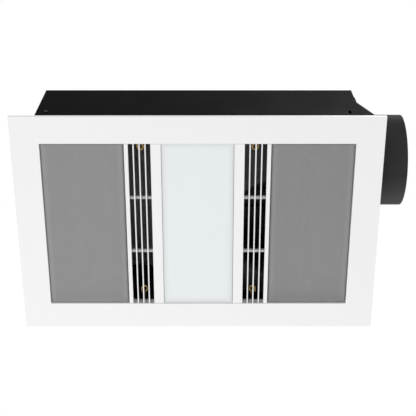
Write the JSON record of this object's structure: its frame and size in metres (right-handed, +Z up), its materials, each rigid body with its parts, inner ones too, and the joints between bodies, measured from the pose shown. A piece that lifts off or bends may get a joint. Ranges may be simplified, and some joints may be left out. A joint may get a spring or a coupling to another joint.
{
  "type": "bathroom heat lamp heater",
  "caption": "Flat rectangular ceiling heater with meshed heat lamps, a frosted light panel, air grilles and a black box housing with a ducted exhaust fan.",
  "frame": {"origin": "middle of the ceiling cut-out, on the ceiling's lower face", "axes": "+Z up into the ceiling space, +X towards the duct, the fascia's long side along X"},
  "size_m": [0.635, 0.38, 0.212],
  "materials": {
    "fascia_plastic": "satin white moulding",
    "mesh": "grey coated fine wire mesh",
    "diffuser": "frosted translucent white",
    "black_steel": "matt black powder coat",
    "zinc": "zinc plated",
    "spring_steel": "bright spring steel",
    "brass": "polished",
    "reflector_aluminium": "bright rolled",
    "quartz": "clear quartz",
    "ceramic": "unglazed ceramic",
    "tungsten": "coiled filament",
    "fan_black": "black moulding",
    "galvanised": "dark galvanised sheet",
    "copper": "enamelled winding",
    "white_plastic": "matt",
    "white_steel": "white powder coat",
    "lead_sleeve": "heat-proof sleeve",
    "circuit_board": "white solder mask",
    "phosphor": "diode lens"
  },
  "bodies": {
    "housing": {"fascia_springs": "spring_steel", "spring_hooks": "brass", "hook_nuts": "brass", "housing_flange": "black_steel", "housing_sides": "black_steel", "housing_ends": "black_steel", "lid_ledge": "black_steel", "housing_lid": "black_steel", "lid_screws": "zinc", "wiring_deck": "black_steel", "terminal_block": "white_plastic", "fan_capacitor": "white_plastic", "light_driver": "white_plastic", "cable_gland": "fan_black", "gland_nut": "fan_black", "wiring_loom": "lead_sleeve", "scroll_floor": "galvanised", "scroll_wall": "galvanised", "scroll_cover": "galvanised", "inlet_ring": "fan_black", "fan_posts": "zinc", "motor_can": "zinc", "motor_cover": "zinc", "motor_stator": "copper", "motor_screws": "zinc", "duct_adaptor": "fan_black", "spigot_tube": "fan_black", "adaptor_screws": "zinc", "damper_pin": "zinc", "damper_spring": "spring_steel", "reflector_left": "reflector_aluminium", "reflector_right": "reflector_aluminium", "reflector_screws": "zinc", "heat_lamp_left": "quartz", "heat_lamp_right": "quartz", "lamp_filaments": "tungsten", "lamp_caps": "ceramic", "lamp_holders": "zinc", "thermal_cutouts": "ceramic", "light_tray": "white_steel", "tray_brackets": "zinc", "tray_screws": "zinc", "led_board": "circuit_board", "led_chips": "phosphor", "light_diffuser": "diffuser"},
    "fascia": {"fascia_frame": "fascia_plastic", "grille_left": "fascia_plastic", "grille_right": "fascia_plastic", "mesh_guard_left": "mesh", "mesh_guard_right": "mesh", "fascia_screws": "zinc", "spring_anchors": "zinc"},
    "impeller": {"impeller_plate": "fan_black", "impeller_blades": "fan_black", "motor_rotor": "zinc", "motor_shaft": "zinc", "impeller_nut": "zinc"},
    "damper_near": {"damper_flap_near": "galvanised"},
    "damper_far": {"damper_flap_far": "galvanised"}
  },
  "joints": [
    {"name": "fascia_drop", "type": "slide", "parent": "housing", "child": "fascia", "axis": [0, 0, -1], "range_m": [0, 0.06], "stiffness_N_per_m": 500, "springref_m": -0.1, "deforming": ["fascia_springs"]},
    {"name": "impeller_spin", "type": "hinge", "parent": "housing", "child": "impeller", "pos_m": [0.135, 0.033, 0.1], "axis": [0, 0, 1], "continuous": true},
    {"name": "damper_near_swing", "type": "hinge", "parent": "housing", "child": "damper_near", "pos_m": [0.2728, -0.0775, 0.108], "axis": [0, 0, 1], "range_deg": [0, 78], "stiffness_Nm_per_rad": 0.01, "springref_deg": -11.46},
    {"name": "damper_far_swing", "type": "hinge", "parent": "housing", "child": "damper_far", "pos_m": [0.2728, -0.0775, 0.108], "axis": [0, 0, -1], "range_deg": [0, 78], "stiffness_Nm_per_rad": 0.01, "springref_deg": -11.46}
  ]
}
